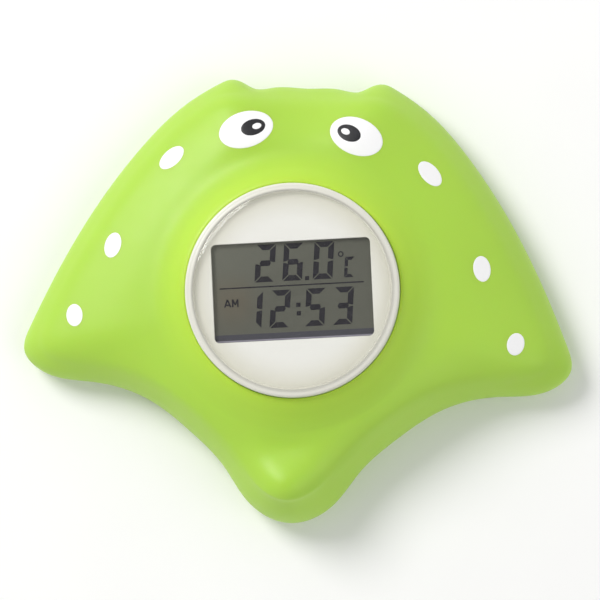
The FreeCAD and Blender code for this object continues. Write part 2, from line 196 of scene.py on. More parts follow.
class Recipe(Sheet):
    """A Geometry Nodes tree with named inputs, each with its socket type."""

    def __init__(self, name, kinds):
        super().__init__(bpy.data.node_groups.new(name, "GeometryNodeTree"))
        face = self.tree.interface
        self.keys = {}
        for label, kind in kinds.items():
            socket = face.new_socket(label, in_out="INPUT", socket_type="NodeSocket" + kind)
            self.keys[label] = socket.identifier
        face.new_socket("Geometry", in_out="OUTPUT", socket_type="NodeSocketGeometry")
        entry = self.tree.nodes.new("NodeGroupInput")
        self.size = {label: Wire(self, entry.outputs[label]) for label in kinds}

    def geometry_of(self, item):
        return self.add("GeometryNodeObjectInfo", None, {"Object": item}, "Geometry")

    def position(self):
        return self.add("GeometryNodeInputPosition")

    def attribute(self, name, kind):
        return self.add("GeometryNodeInputNamedAttribute", {"data_type": kind}, {"Name": name}, "Attribute")

    def moved(self, geometry, position):
        return self.add("GeometryNodeSetPosition", None, {"Geometry": geometry, "Position": position})

    def joined(self, geometries):
        node = self.tree.nodes.new("GeometryNodeJoinGeometry")
        for geometry in geometries:
            self.tree.links.new(geometry.socket, node.inputs[0])
        return Wire(self, node.outputs[0])

    def set_out(self, places, blank):
        """Copies of a blank on points that carry a turn and a size."""
        upright = self.vector(z=self.attribute("turn", "FLOAT"))
        copies = self.add("GeometryNodeInstanceOnPoints", None, {
            "Points": self.geometry_of(places), "Instance": self.geometry_of(blank),
            "Rotation": self.add("FunctionNodeEulerToRotation", None, (upright,)),
            "Scale": self.attribute("size", "FLOAT_VECTOR")})
        return self.add("GeometryNodeRealizeInstances", None, (copies,))

    def finish(self, geometry, material):
        """Ends the tree with plain geometry in one material."""
        geometry = self.add("GeometryNodeRealizeInstances", None, (geometry,))
        geometry = self.add("GeometryNodeSetMaterial", None, {"Geometry": geometry, "Material": material})
        leave = self.tree.nodes.new("NodeGroupOutput")
        self.tree.links.new(geometry.socket, leave.inputs[0])

    def cook(self, name, values):
        """A new object whose plain mesh is what the tree makes from these values."""
        piece = new_object(name, bpy.data.meshes.new(name))
        modifier = piece.modifiers.new(name, "NODES")
        modifier.node_group = self.tree
        for label, value in values.items():
            modifier[self.keys[label]] = value
        graph = bpy.context.evaluated_depsgraph_get()
        mesh = bpy.data.meshes.new_from_object(piece.evaluated_get(graph))
        piece.modifiers.clear()
        piece.data = mesh
        return piece


class Finish(Sheet):
    """A material's node tree."""

    def __init__(self, name):
        self.material = bpy.data.materials.new(name)
        self.material.use_nodes = True
        super().__init__(self.material.node_tree)
        self.tree.nodes.clear()

    def place(self):
        return self.add("ShaderNodeTexCoord", None, (), "Object")

    def noise(self, scale, detail=2.0, at=None):
        return self.add("ShaderNodeTexNoise", None,
                        {"Vector": at or self.place(), "Scale": scale, "Detail": detail}, "Fac")

    def blend(self, share, first, second):
        """A colour between two others."""
        return self.add("ShaderNodeMix", {"data_type": "RGBA"},
                        {"Factor_Float": share, "A_Color": first, "B_Color": second}, "Result_Color")

    def bump(self, height, distance, strength=1.0, under=None):
        values = {"Height": height, "Distance": distance, "Strength": strength}
        if under:
            values["Normal"] = under
        return self.add("ShaderNodeBump", None, values)

    def glance(self):
        """Share of light that clear plastic or glass mirrors, the same from inside and outside."""
        edge_on = self.add("ShaderNodeLayerWeight", None, {"Blend": 0.5}, "Facing")
        return 0.03 + 0.45 * edge_on ** 5.0

    def from_axis(self):
        """Distance from the module's axis."""
        x, y, _ = (self.place() - tuple(MODULE_AXIS)).parts()
        return self.vector(x, y).length()

    def in_display(self):
        """Object coordinates turned and centred on the display."""
        mapped = self.add("ShaderNodeMapping", {"vector_type": "TEXTURE"}, {
            "Vector": self.place(), "Location": tuple(MODULE_AXIS), "Rotation": (0.0, 0.0, DISPLAY_TURN)})
        return mapped.parts()

    def principled(self, **values):
        return self.add("ShaderNodeBsdfPrincipled", None,
                        {name.replace("_", " "): value for name, value in values.items()})

    def done(self, shader):
        self.add("ShaderNodeOutputMaterial", None, {"Surface": shader})
        return self.material

    def solid(self, **values):
        """Ends the tree with one opaque stuff."""
        return self.done(self.principled(**values))


# ---- small helpers ----

def new_object(name, data):
    piece = bpy.data.objects.new(name, data)
    bpy.context.scene.collection.objects.link(piece)
    return piece


def colour(values):
    """A colour property as a socket's four numbers."""
    return (*values[:3], 1.0)


def shade(values, factor):
    return (*(part * factor for part in values[:3]), 1.0)


def prism(name, corners, low, high):
    """A closed flat piece with the outline of the corners."""
    mesh = bmesh.new()
    bottom = [mesh.verts.new((x, y, low)) for x, y in corners]
    top = [mesh.verts.new((x, y, high)) for x, y in corners]
    mesh.faces.new(bottom[::-1])
    mesh.faces.new(top)
    for index in range(len(corners)):
        after = (index + 1) % len(corners)
        mesh.faces.new((bottom[index], bottom[after], top[after], top[index]))
    return mesh_object(name, mesh)


def lathe(name, profile, count, centre=(0.0, 0.0)):
    """A closed piece from a profile of radii and levels, turned about an upright axis."""
    mesh = bmesh.new()
    loops = []
    for radius, level in profile:
        turns = [math.tau * step / count for step in range(count)] if radius > 0 else [0.0]
        places = [(centre[0] + radius * math.cos(turn), centre[1] + radius * math.sin(turn), level)
                  for turn in turns]
        loops.append([mesh.verts.new(place) for place in places])
    for here, there in zip(loops, loops[1:] + loops[:1]):
        for step in range(count):
            after = (step + 1) % count
            corners = (here[step % len(here)], here[after % len(here)],
                       there[after % len(there)], there[step % len(there)])
            corners = list(dict.fromkeys(corners))
            if len(corners) > 2:
                mesh.faces.new(corners)
    bmesh.ops.recalc_face_normals(mesh, faces=mesh.faces)
    return mesh_object(name, mesh)


def mesh_object(name, work):
    data = bpy.data.meshes.new(name)
    work.to_mesh(data)
    work.free()
    return new_object(name, data)


def points_object(name, rows):
    """A cloud of points, each with a place, a turn about Z and a size."""
    data = bpy.data.meshes.new(name)
    data.from_pydata([place for place, _, _ in rows], [], [])
    turns = data.attributes.new("turn", "FLOAT", "POINT")
    turns.data.foreach_set("value", [turn for _, turn, _ in rows])
    sizes = data.attributes.new("size", "FLOAT_VECTOR", "POINT")
    sizes.data.foreach_set("vector", [part for _, _, size in rows for part in size])
    return new_object(name, data)


def drop(*helpers):
    """Removes pieces that only served to make others."""
    for helper in helpers:
        bpy.data.objects.remove(helper)


def merged(name, pieces, material):
    """One piece from several."""
    work = bmesh.new()
    for piece in pieces:
        work.from_mesh(piece.data)
    whole = mesh_object(name, work)
    whole.data.materials.append(material)
    drop(*pieces)
    return whole


def paint(node, material):
    """Gives a CAD node its material."""
    data = frame["nodes"][node].data
    data.materials.clear()
    data.materials.append(material)


def recast(node, material):
    """A piece in a CAD node's own shape, with its doubles merged so that curved faces shade smoothly."""
    work = bmesh.new()
    work.from_mesh(frame["nodes"][node].data)
    bmesh.ops.remove_doubles(work, verts=work.verts, dist=WELD / 5)
    work.verts.index_update()
    corners = [tuple(vertex.co) for vertex in work.verts]
    faces = [[vertex.index for vertex in face.verts] for face in work.faces]
    work.free()
    data = bpy.data.meshes.new(node)
    data.from_pydata(corners, [], faces)
    data.shade_smooth()
    data.set_sharp_from_angle(angle=math.radians(28.0))
    data.materials.append(material)
    piece = new_object("smooth_" + node, data)
    bodies = frame["record"]["behaviour"]["bodies"]
    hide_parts(node)
    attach(piece, next(body for body, nodes in bodies.items() if node in nodes))


# ---- properties ----

def size_setting(name, description, millimetres):
    return FloatProperty(name=name, description=description, unit="LENGTH", subtype="DISTANCE",
                         default=millimetres * MM)


def angle_setting(name, description, degrees):
    return FloatProperty(name=name, description=description, unit="ROTATION", subtype="ANGLE",
                         default=math.radians(degrees))


def colour_setting(name, description, *parts):
    return FloatVectorProperty(name=name, description=description, subtype="COLOR", size=3, default=parts)


class FloatSettings(bpy.types.PropertyGroup):
    """Sizes and colours of the soft float."""
    half_width: size_setting("Half width", "Module axis to a wing tip", 65.0)
    head_length: size_setting("Head length", "Module axis to the front of the horns", 51.2)
    tail_length: size_setting("Tail length", "Module axis to the end of the tail", 53.6)
    edge_inset: size_setting("Edge width", "Width of the rounded edge, seen from above", 4.5)
    edge_height: size_setting("Edge height", "Top of a long wing at its edge, before rounding", 11.5)
    root_height: size_setting("Root height", "How much higher the edge is where the wing is short", 5.0)
    root_length: size_setting("Root length", "Wing length over which the root height fades", 14.0)
    belly_height: size_setting("Belly height", "Level at which the outline is widest", 5.0)
    collar_width: size_setting("Collar width", "Slope round the module", 7.5)
    collar_drop: size_setting("Collar drop", "How far the collar stands above the wings", 5.1)
    collar_top: size_setting("Collar top", "Level of the collar's rim", 25.6)
    pocket_radius: size_setting("Pocket radius", "Inside of the pocket that holds the module", 25.3)
    lip_radius: size_setting("Lip radius", "Inside of the soft lip at the top of the pocket", 25.08)
    lip_round: size_setting("Lip rounding", "Rounding of that lip", 0.45)
    ledge_radius: size_setting("Ledge radius", "Hole through the ledge under the module", 20.8)
    ledge_height: size_setting("Ledge height", "Level of the ledge that the module stands on", 2.5)
    spokes: IntProperty(name="Spokes", description="Faces round the float", default=384, min=48)
    skin: colour_setting("Vinyl", "Colour of the soft vinyl", 0.41, 0.665, 0.066)
    # partly painted light: the collar colour also stands for the white module's glow through thin vinyl
    collar: colour_setting("Collar vinyl", "Colour where the vinyl is stretched thin", 0.48, 0.74, 0.052)


class MarkSettings(bpy.types.PropertyGroup):
    """Printed eyes and spots."""
    white: colour_setting("White ink", "Colour of the eyes and spots", 0.92, 0.92, 0.93)
    black: colour_setting("Black ink", "Colour of the pupils", 0.010, 0.010, 0.013)
    thickness: size_setting("Ink thickness", "How far each print stands above what it is on", 0.05)


class DisplaySettings(bpy.types.PropertyGroup):
    """What the display shows, and the sizes of its digits."""
    reading: StringProperty(name="Reading", description="Temperature shown, in degrees", default="26.0")
    clock: StringProperty(name="Clock", description="Time shown", default="12:53")
    digit_height: size_setting("Digit height", "Height of a digit", 8.75)
    digit_width: size_setting("Digit width", "Width of a digit", 4.6)
    stroke: size_setting("Stroke", "Width of a digit's segment", 1.3)
    slant: angle_setting("Slant", "How far the digits lean", 5.5)
    ink: colour_setting("Segments", "Colour of a driven segment", 0.013, 0.012, 0.020)
    film: colour_setting("Film", "Colour of the polarising film", 0.115, 0.118, 0.100)


class CaseSettings(bpy.types.PropertyGroup):
    """Colours of the module's case."""
    plate: colour_setting("Face plate", "Colour of the plate round the display", 0.93, 0.93, 0.92)
    shell: colour_setting("Back shell", "Colour of the back shell and battery door", 0.80, 0.81, 0.79)
    button: colour_setting("Buttons", "Colour of the two buttons", 0.30, 0.32, 0.33)


class StageSettings(bpy.types.PropertyGroup):
    """Camera, lights and floor."""
    azimuth: angle_setting("Azimuth", "Side that the camera looks from", 48.0)
    elevation: angle_setting("Elevation", "Height that the camera looks from", 84.0)
    roll: angle_setting("Roll", "Turn of the camera about its own axis", -45.8)
    distance: FloatProperty(name="Distance", description="Camera to the module's axis", unit="LENGTH",
                            subtype="DISTANCE", default=1.06)
    lens: FloatProperty(name="Lens", description="Focal length in millimetres", default=267.0)
    key: FloatProperty(name="Key light", description="Power of the large light at the upper left",
                       unit="POWER", subtype="POWER", default=7.0)
    sky: FloatProperty(name="Sky", description="Strength of the even light from all round", default=0.66)


# ---- the soft float ----

def outline_points(settings):
    """Points round the whole outline, from the tail towards +X."""
    right = []
    for across, along in OUTLINE_SHARES:
        length = settings.head_length if along > 0 else settings.tail_length
        right.append((across * settings.half_width, along * length))
    return np.array(right[::-1] + [(-x, y) for x, y in right[1:-1]])


def smooth_directions(points):
    """The curve's direction at each point, per metre of chord, so that its curvature has no steps."""
    count = len(points)
    ahead = np.roll(points, -1, axis=0) - points
    chord = np.linalg.norm(ahead, axis=1)
    matrix = np.zeros((count, count))
    right_side = np.zeros((count, 2))
    for index in range(count):
        before = chord[index - 1]
        matrix[index, index - 1] = chord[index]
        matrix[index, index] = 2 * (chord[index] + before)
        matrix[index, (index + 1) % count] = before
        slopes = chord[index] * ahead[index - 1] / before + before * ahead[index] / chord[index]
        right_side[index] = 3 * slopes
    return np.linalg.solve(matrix, right_side), chord


def outline_curve(settings):
    """The float's outline as a closed curve."""
    points = outline_points(settings)
    directions, chord = smooth_directions(points)
    data = bpy.data.curves.new("float_outline", "CURVE")
    spline = data.splines.new("BEZIER")
    spline.bezier_points.add(len(points) - 1)
    spline.use_cyclic_u = True
    spline.resolution_u = 48
    for index, knot in enumerate(spline.bezier_points):
        knot.co = (*points[index], 0.0)
        knot.handle_left = (*(points[index] - directions[index] * chord[index - 1] / 3), 0.0)
        knot.handle_right = (*(points[index] + directions[index] * chord[index] / 3), 0.0)
    return new_object("float_outline", data)


FLOAT_SIZES = {
    "Half width": "half_width", "Head length": "head_length", "Tail length": "tail_length",
    "Edge width": "edge_inset", "Edge height": "edge_height", "Root height": "root_height",
    "Root length": "root_length", "Belly height": "belly_height", "Collar width": "collar_width",
    "Collar drop": "collar_drop", "Collar top": "collar_top", "Pocket radius": "pocket_radius",
    "Lip radius": "lip_radius", "Lip rounding": "lip_round", "Ledge radius": "ledge_radius",
    "Ledge height": "ledge_height",
}
BASE_ROWS = 6
EDGE_ROWS = 26
TOP_ROWS = 46
COLLAR_ROWS = 16
LIP_ROWS = 6
SOFT_PASSES = 70             # how often the top's relief is evened out
KNOB_REACH = 2.4             # reach of the tail knob's crisp part, as a share of its spread
KNOB_HOLD = 0.55             # share of that evening out which the tail knob is spared
HEADING_REACH = 0.018        # share of the outline over which a section's direction is evened out


class FloatRecipe(Recipe):
    """The float's surface, worked out section by section round its outline."""

    def __init__(self):
        kinds = {label: "Float" for label in FLOAT_SIZES}
        super().__init__("soft_float", {"Outline": "Object", "Spokes": "Int", "Vinyl": "Material", **kinds})
        size = self.size
        self.collar_foot = size["Collar top"] - size["Collar drop"]
        self.foot_radius = size["Pocket radius"] + size["Collar width"]
        u, self.v, _ = (self.position() + (0.5, 0.5, 0.0)).parts()
        self.rim = self.outline_at(u)
        ahead = self.outline_at((u + HEADING_REACH).sum("FRACT", u + HEADING_REACH))
        behind = self.outline_at((u - HEADING_REACH).sum("FRACT", u - HEADING_REACH))
        along_x, along_y, _ = (ahead - behind).unit().parts()
        self.inward = self.vector(-along_y, along_x)
        self.edge_start = self.rim + self.inward * size["Edge width"]
        self.heading = self.edge_start.unit()
        self.foot = self.heading * self.foot_radius
        self.wing = (self.edge_start - self.foot).length() + size["Edge width"]
        self.start_share = 1.0 - size["Edge width"] / self.wing
        lip_start = size["Lip radius"] + size["Lip rounding"]
        lip_foot = self.collar(lip_start) - size["Lip rounding"]
        zones = [
            self.zone(BASE_ROWS, self.base()),
            self.zone(EDGE_ROWS, self.edge(), self.v.ramp(0.55, 0.90)),
            self.zone(TOP_ROWS, self.top(), self.evenness()),
            self.zone(COLLAR_ROWS, self.slope(lip_start), ((1.0 - self.v) * 1.6).least(1.0)),
            self.zone(LIP_ROWS, self.lip(lip_start)),
        ]
        pocket = [
            (size["Lip radius"], lip_foot), (size["Pocket radius"], lip_foot - 1.0 * MM),
            (size["Pocket radius"], size["Ledge height"]), (size["Ledge radius"], size["Ledge height"]),
            (size["Ledge radius"], 0.0),
        ]
        for (radius, level), (next_radius, next_level) in zip(pocket, pocket[1:]):
            wall = self.ring(radius + (next_radius - radius) * self.v, level + (next_level - level) * self.v)
            zones.append(self.zone(3, wall))
        whole = self.add("GeometryNodeMergeByDistance", None,
                         {"Geometry": self.joined(zones), "Distance": WELD})
        whole = self.add("GeometryNodeRemoveAttribute", None,
                         {"Geometry": self.softened(whole), "Name": "softness"})
        whole = self.add("GeometryNodeSetShadeSmooth", None, (whole,))
        self.finish(whole, size["Vinyl"])

    def outline_at(self, share):
        """A place on the outline, from the share of its length."""
        return self.add("GeometryNodeSampleCurve", {"mode": "FACTOR"},
                        {"Curves": self.geometry_of(self.size["Outline"]), "Factor": share}, "Position")

    def zone(self, rows, place, softness=0.0):
        """A band of faces all round the float."""
        grid = self.add("GeometryNodeMeshGrid", None, {
            "Size X": 1.0, "Size Y": 1.0, "Vertices X": self.size["Spokes"] + 1, "Vertices Y": rows + 1})
        grid = self.add("GeometryNodeStoreNamedAttribute", {"data_type": "FLOAT"},
                        {"Geometry": grid, "Name": "softness", "Value": softness})
        return self.moved(grid, place)

    def softened(self, shape):
        """Evens out the relief wherever softness is above nothing."""
        place = self.position()
        even = self.add("GeometryNodeBlurAttribute", {"data_type": "FLOAT_VECTOR"},
                        {"Value": place, "Iterations": SOFT_PASSES})
        return self.moved(shape, place + (even - place) * self.attribute("softness", "FLOAT"))

    def raised(self, flat, level):
        x, y, _ = flat.parts()
        return self.vector(x, y, level)

    def ring(self, radius, level):
        return self.raised(self.heading * radius, level)

    def collar(self, radius):
        """Level of the collar's slope at one distance from the module's axis."""
        share = ((self.foot_radius - radius) / self.size["Collar width"]).least(1.0)
        return self.collar_foot + self.size["Collar drop"] * share * share * (3.0 - 2.0 * share)

    def wing_level(self, share):
        """Level of the top between the collar's foot, share 0, and the outline, share 1, before rounding."""
        size = self.size
        edge = size["Edge height"] + size["Root height"] * (-self.wing / size["Root length"]).exp()
        return self.collar_foot + (edge - self.collar_foot) * share ** 1.5

    def far_from(self, flat, swelling):
        """Distance from the middle of a swelling, as a share of its spread."""
        across, along, spread, _ = swelling
        reach = self.size["Head length"] if along > 0 else self.size["Tail length"]
        middle = self.vector(across * self.size["Half width"], along * reach)
        return (flat - middle).length() / (spread * MM)

    def swelling(self, flat):
        """Height that the local swellings add to the float's top at one place."""
        total = 0.0
        for swelling in SWELLINGS:
            far = self.far_from(flat, swelling)
            total = total + swelling[-1] * MM * (far * far * -0.5).exp()
        return total

    def base(self):
        inner = self.heading * self.size["Ledge radius"]
        return inner + (self.edge_start - inner) * self.v

    def edge(self):
        size = self.size
        angle = (self.v - 0.5) * math.pi
        bow = angle.cos()
        flat = self.rim + self.inward * (size["Edge width"] - size["Edge width"] * bow)
        top = self.wing_level(self.start_share + bow * size["Edge width"] / self.wing) + self.swelling(flat)
        belly = size["Belly height"]
        upper = self.v.sum("GREATER_THAN", self.v, 0.5)
        rise = belly + (top - 2.0 * belly) * upper
        return self.raised(flat, belly + rise * angle.sin())

    def evenness(self):
        """How far the top's relief is evened out: less on the tail knob, which stays full."""
        flat = self.foot + (self.edge_start - self.foot) * (1.0 - self.v)
        far = self.far_from(flat, SWELLINGS[0]) / KNOB_REACH
        return 1.0 - KNOB_HOLD * (far * far * -0.5).exp()

    def top(self):
        share = 1.0 - self.v
        flat = self.foot + (self.edge_start - self.foot) * share
        level = self.wing_level(share * self.start_share) + self.swelling(flat) * (share * 4.0).least(1.0)
        return self.raised(flat, level)

    def slope(self, lip_start):
        radius = self.foot_radius + (lip_start - self.foot_radius) * self.v
        return self.ring(radius, self.collar(radius))

    def lip(self, lip_start):
        angle = self.v * (math.pi / 2)
        rounding = self.size["Lip rounding"]
        return self.ring(lip_start - rounding * angle.sin(),
                         self.collar(lip_start) - rounding * (1.0 - angle.cos()))


COLLAR_TINT = (25.0 * MM, 35.0 * MM)      # distances from the axis between which the collar's tint fades; the tint is partly the thin vinyl's own tone and partly painted light from the white module under it


def vinyl(settings):
    """Soft satin vinyl, yellower and lighter round the module: partly the tone of vinyl stretched thin,
    partly painted light that shows through it from the white module.
    """
    finish = Finish("lime_vinyl")
    near_collar = 1.0 - finish.from_axis().ramp(*COLLAR_TINT)
    mottle = finish.noise(45.0, 3.0)
    # collar tint: partly the stretched vinyl's own colour, partly painted light glowing through it from the
    # white module
    tone = finish.blend(near_collar * 0.85, colour(settings.skin), colour(settings.collar))
    tone = finish.blend(mottle.ramp(0.35, 0.75) * 0.10, tone, shade(settings.skin, 0.86))
    grain = finish.noise(1900.0, 2.0)
    ripple = finish.noise(140.0, 1.0)
    normal = finish.bump(grain, 0.02 * MM, 0.35, finish.bump(ripple, 0.05 * MM, 0.25))
    return finish.solid(
        Base_Color=tone, Roughness=0.40 + 0.10 * finish.noise(260.0), Normal=normal, Specular_IOR_Level=0.42,
        Subsurface_Weight=0.30, Subsurface_Radius=(0.55, 1.0, 0.20), Subsurface_Scale=4.0 * MM)


class THERMOMETER_OT_soft_float(bpy.types.Operator):
    """Builds the ray-shaped vinyl float"""
    bl_idname = "thermometer.soft_float"
    bl_label = "Soft float"

    def execute(self, context):
        settings = context.scene.thermometer_float
        outline = outline_curve(settings)
        recipe = FloatRecipe()
        values = {label: getattr(settings, name) for label, name in FLOAT_SIZES.items()}
        values.update({"Outline": outline, "Spokes": settings.spokes, "Vinyl": vinyl(settings)})
        piece = recipe.cook("ray_float", values)
        piece.data.transform(Matrix.Translation((0.0, MODULE_AXIS.y, 0.0)))
        piece.data.set_sharp_from_angle(angle=math.radians(50.0))
        drop(outline)
        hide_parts("float_skin")
        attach(piece, "float")
        return {"FINISHED"}


# ---- printed eyes and spots ----

# The print is the same on both sides of the ray, and leans a little, so that the +X side sits lower.
# Places are for the +X side, in millimetres from the module's axis.
PRINT_LEAN = 0.03            # drop per millimetre across
EYE_PLACE = (13.0, 37.5)
EYE_HALF = (6.5, 4.4)
EYE_TURN = -20.0             # the eyes slope down and outwards, degrees
PUPIL_SHARE = 0.45           # of the eye's size
PUPIL_SHIFT = -1.8           # towards the middle of the face, along the eye
GLINT_SHARE = 0.17
GLINT_SHIFT = -2.7
SPOT_PLACES = [(30.5, 30.0), (43.5, 8.5), (52.0, -8.5)]
SPOT_HALF = (3.5, 2.0)       # of the spot next to the eye
SPOT_FADE = 0.87             # length of each spot as a share of the one before it
SHOT_HEIGHT = 0.1            # the prints come down on the float from this level, in metres


def on_both_sides(x, y, long, wide, turn):
    """A mark and its mirror image, as the leaning print has them."""
    lean = math.degrees(math.atan(PRINT_LEAN))
    return [(side * x, y - PRINT_LEAN * side * x, long, wide, side * turn - lean) for side in (1, -1)]


def eye_marks(share, shift):
    """Marks shaped like the eyes, at a share of their size, moved along them."""
    turn = math.radians(EYE_TURN)
    x = EYE_PLACE[0] + shift * math.cos(turn)
    y = EYE_PLACE[1] + shift * math.sin(turn)
    return on_both_sides(x, y, share * EYE_HALF[0], share * EYE_HALF[1], EYE_TURN)


def spot_marks():
    """Spots down the wings, each lying across the line from the module's axis to it."""
    marks = []
    for index, (x, y) in enumerate(SPOT_PLACES):
        turn = math.degrees(math.atan2(-x, y))
        marks += on_both_sides(x, y, SPOT_HALF[0] * SPOT_FADE ** index, SPOT_HALF[1], turn)
    return marks


def ink_blank():
    """A round blank of ink, one across and one thick, with rings enough to follow a curved surface."""
    shares = (0.2, 0.4, 0.6, 0.8)
    upper = [(0.0, 1.0)] + [(share, 1.0) for share in (*shares, 0.92)] + [(0.98, 0.7), (1.0, 0.0)]
    lower = [(share, -1.0) for share in (0.98, *shares[::-1])] + [(0.0, -1.0)]
    return lathe("ink_blank", upper + lower, 48)


class PrintRecipe(Recipe):
    """Prints ink blanks on a surface, seen from above."""

    def __init__(self):
        super().__init__("printed_marks", {"Places": "Object", "Blank": "Object", "Surface": "Object",
                                           "Thickness": "Float", "Depth": "Float", "Ink": "Material"})
        size = self.size
        marks = self.set_out(size["Places"], size["Blank"])
        x, y, level = self.position().parts()
        shot = {"Target Geometry": self.geometry_of(size["Surface"]),
                "Source Position": self.vector(x, y, SHOT_HEIGHT), "Ray Direction": (0.0, 0.0, -1.0)}
        landing = self.add("GeometryNodeRaycast", None, shot, "Hit Position")
        facing = self.add("GeometryNodeRaycast", None, shot, "Hit Normal")
        above = level.sum("MAXIMUM", level, 0.0) * size["Thickness"]
        below = level.least(0.0) * size["Depth"]
        marks = self.moved(marks, landing + facing * (above + below))
        self.finish(self.add("GeometryNodeSetShadeSmooth", None, (marks,)), size["Ink"])


def white_ink(settings):
    """Opaque white pad-printing ink."""
    finish = Finish("white_ink")
    tone = finish.blend(finish.noise(900.0, 2.0).ramp(0.45, 0.8) * 0.12, colour(settings.white),
                        shade(settings.white, 0.90))
    normal = finish.bump(finish.noise(2400.0), 0.01 * MM, 0.3)
    return finish.solid(
        Base_Color=tone, Roughness=0.36 + 0.08 * finish.noise(300.0), Normal=normal)


def black_ink(settings):
    """Black ink, slightly thin in places so that it is not quite even."""
    finish = Finish("black_ink")
    thin = finish.noise(1500.0, 3.0).ramp(0.40, 0.85)
    tone = finish.blend(thin * 0.5, colour(settings.black), shade(settings.black, 3.2))
    normal = finish.bump(finish.noise(2400.0), 0.01 * MM, 0.3)
    return finish.solid(
        Base_Color=tone, Roughness=0.34 + 0.10 * finish.noise(300.0), Normal=normal)


class THERMOMETER_OT_printed_marks(bpy.types.Operator):
    """Prints the eyes and spots on the float"""
    bl_idname = "thermometer.printed_marks"
    bl_label = "Printed eyes and spots"

    def execute(self, context):
        settings = context.scene.thermometer_marks
        recipe = PrintRecipe()
        blank = ink_blank()
        white = white_ink(settings)
        black = black_ink(settings)
        layers = [
            ("body_spots", spot_marks(), white, 1), ("eye_whites", eye_marks(1.0, 0.0), white, 1),
            ("eye_pupils", eye_marks(PUPIL_SHARE, PUPIL_SHIFT), black, 2),
            ("eye_glints", eye_marks(GLINT_SHARE, GLINT_SHIFT), white, 3),
        ]
        for name, marks, ink, layer in layers:
            rows = [((x * MM, y * MM + MODULE_AXIS.y, 0.0), math.radians(turn), (long * MM, wide * MM, 1.0))
                    for x, y, long, wide, turn in marks]
            places = points_object("print_places", rows)
            piece = recipe.cook(name, {
                "Places": places, "Blank": blank, "Surface": bpy.data.objects["ray_float"],
                "Thickness": layer * settings.thickness, "Depth": 0.3 * MM, "Ink": ink})
            drop(places)
            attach(piece, "float")
        drop(blank)
        return {"FINISHED"}


# ---- the display ----

# lit segments of each figure: a top, b upper right, c lower right, d bottom, e lower left, f upper left,
# g middle
LIT = {
    "0": "abcdef", "1": "bc", "2": "abdeg", "3": "abcdg", "4": "bcfg", "5": "acdfg", "6": "acdefg",
    "7": "abc", "8": "abcdefg", "9": "abcdfg", "C": "adef",
}


# where the display's figures stand, in millimetres right of and below the window's upper left corner
FIGURE_PITCH = 6.5           # from one figure to the next
READING_START = 9.8
READING_FOOT = 9.2
POINT_ROOM = 0.6             # extra room for the decimal point
CLOCK_START = 6.3
CLOCK_FOOT = 20.0
COLON_ROOM = 1.7             # extra room for the colon
DEGREE_PLACE = (30.2, 3.6)
DEGREE_RADIUS = 0.68
DEGREE_STROKE = 0.30


class FigureRecipe(Recipe):
    """Sets segments out on the display and leans them over."""

    def __init__(self):
        super().__init__("display_figures", {"Places": "Object", "Segment": "Object", "Slant": "Float",
                                             "Ink": "Material"})
        size = self.size
        figures = self.set_out(size["Places"], size["Segment"])
        x, y, z = self.position().parts()
        lean = size["Slant"].sum("TANGENT", size["Slant"])
        self.finish(self.moved(figures, self.vector(x + y * lean, y, z)), size["Ink"])


def segment_blanks(settings):
    """Unit outlines of a figure's segments, and of a plain stroke. +X runs to a corner of the figure."""
    width, half_rise, stroke = settings.digit_width, settings.digit_height / 2, settings.stroke
    gap, shoulder = 0.04, 0.37
    mitre = gap + stroke / width
    end_bar = [(-0.5 + gap, 0.5), (-0.5 + mitre, -0.5), (0.5 - mitre, -0.5), (0.5 - gap, 0.5)]
    mitre = gap + stroke / half_rise
    left_bar = [(-0.5 + gap, 0.5), (-0.5 + gap, 0.2), (-0.5 + gap * 2.4, -0.5), (0.5 - mitre, -0.5),
                (0.5 - gap, 0.5)]
    right_bar = [(x, -y) for x, y in left_bar[::-1]]
    middle_bar = [(-0.5, 0.0), (-shoulder, -0.5), (shoulder, -0.5), (0.5, 0.0), (shoulder, 0.5),
                  (-shoulder, 0.5)]
    plain = [(-0.5, -0.5), (0.5, -0.5), (0.5, 0.5), (-0.5, 0.5)]
    return {"end_bar": end_bar, "left_bar": left_bar, "right_bar": right_bar, "middle_bar": middle_bar,
            "stroke": plain}


def figure_segments(figure, left, foot, width, height, stroke):
    """The lit segments of one figure: blank, place, turn and size of each."""
    up = math.pi / 2
    middle_x, middle_y = left + width / 2, foot + height / 2
    inset, quarter = stroke / 2, height / 4
    side, level = (height / 2, stroke, 1.0), (width, stroke, 1.0)
    ways = {
        "a": ("end_bar", middle_x, foot + height - inset, 0.0, level),
        "b": ("right_bar", left + width - inset, middle_y + quarter, up, side),
        "c": ("left_bar", left + width - inset, middle_y - quarter, -up, side),
        "d": ("end_bar", middle_x, foot + inset, math.pi, level),
        "e": ("right_bar", left + inset, middle_y - quarter, -up, side),
        "f": ("left_bar", left + inset, middle_y + quarter, up, side),
        "g": ("middle_bar", middle_x, middle_y, 0.0, (width - 1.5 * stroke, stroke, 1.0)),
    }
    return [(blank, (x, y, 0.0), turn, size) for blank, x, y, turn, size in map(ways.get, LIT[figure])]


def stroke_row(start, end, width):
    """A plain stroke from one place to another: its place, turn and size."""
    run = Vector(end) - Vector(start)
    middle = (Vector(start) + Vector(end)) / 2
    return (middle.x, middle.y, 0.0), math.atan2(run.y, run.x), (run.length, width, 1.0)


def window_place(across, down):
    """Millimetres from the window's upper left corner, as a place on the display."""
    return across * MM - WINDOW_WIDTH / 2, WINDOW_DEPTH / 2 - down * MM


